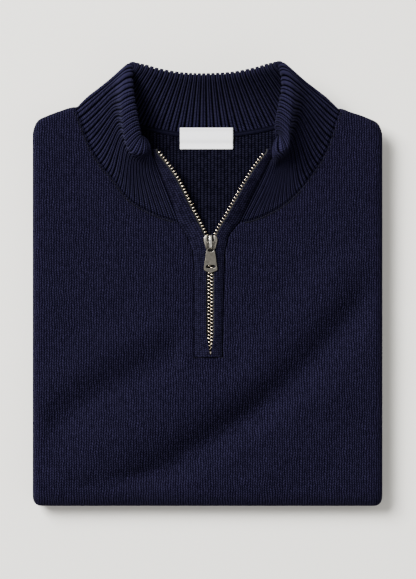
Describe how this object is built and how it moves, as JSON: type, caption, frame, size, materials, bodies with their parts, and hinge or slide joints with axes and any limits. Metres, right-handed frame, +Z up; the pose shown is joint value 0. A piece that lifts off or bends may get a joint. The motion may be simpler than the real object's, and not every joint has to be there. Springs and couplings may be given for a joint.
{
  "type": "folded quarter zip sweater",
  "caption": "Fine-knit quarter zip sweater folded flat for a shelf, with a standing ribbed collar, open at the neck, a metal half-open neck zip and its turning pull tab",
  "frame": {"origin": "middle of the underside's box, on the surface that the folded sweater lies on", "axes": "+Z up off the surface, +Y from the bottom fold towards the collar, +X to the right as seen from above"},
  "size_m": [0.3138, 0.3968, 0.0618],
  "materials": {
    "plain_knit": "fine plain knit in dark navy, matt, with a slight nap",
    "rib_knit": "doubled rib knit in the same dark navy",
    "zip_teeth": "pale champagne metal teeth, polished",
    "zip_tape": "near-black woven tape",
    "zip_hardware": "antique nickel, smooth, darkened in the recesses",
    "neck_tape": "narrow navy tape stitched along both edges",
    "label_cloth": "bare woven satin label, white, tacked at its corners"
  },
  "bodies": {
    "sweater": {"front_panel": "plain_knit", "back_panel": "plain_knit", "hidden_layers": "plain_knit", "collar": "rib_knit", "placket_left": "plain_knit", "placket_right": "plain_knit", "zip_teeth_left": "zip_teeth", "zip_teeth_right": "zip_teeth", "zip_tape_left": "zip_tape", "zip_tape_right": "zip_tape", "bottom_stop": "zip_teeth", "slider_body": "zip_hardware", "slider_bridge": "zip_hardware", "neck_tape": "neck_tape", "label": "label_cloth"},
    "tab": {"pull_tab": "zip_hardware"}
  },
  "joints": [
    {"name": "pull_tab_turn", "type": "hinge", "parent": "sweater", "child": "tab", "pos_m": [0.0027, 0.03855, 0.0321], "axis": [-1, 0, 0], "range_deg": [0, 160]}
  ]
}
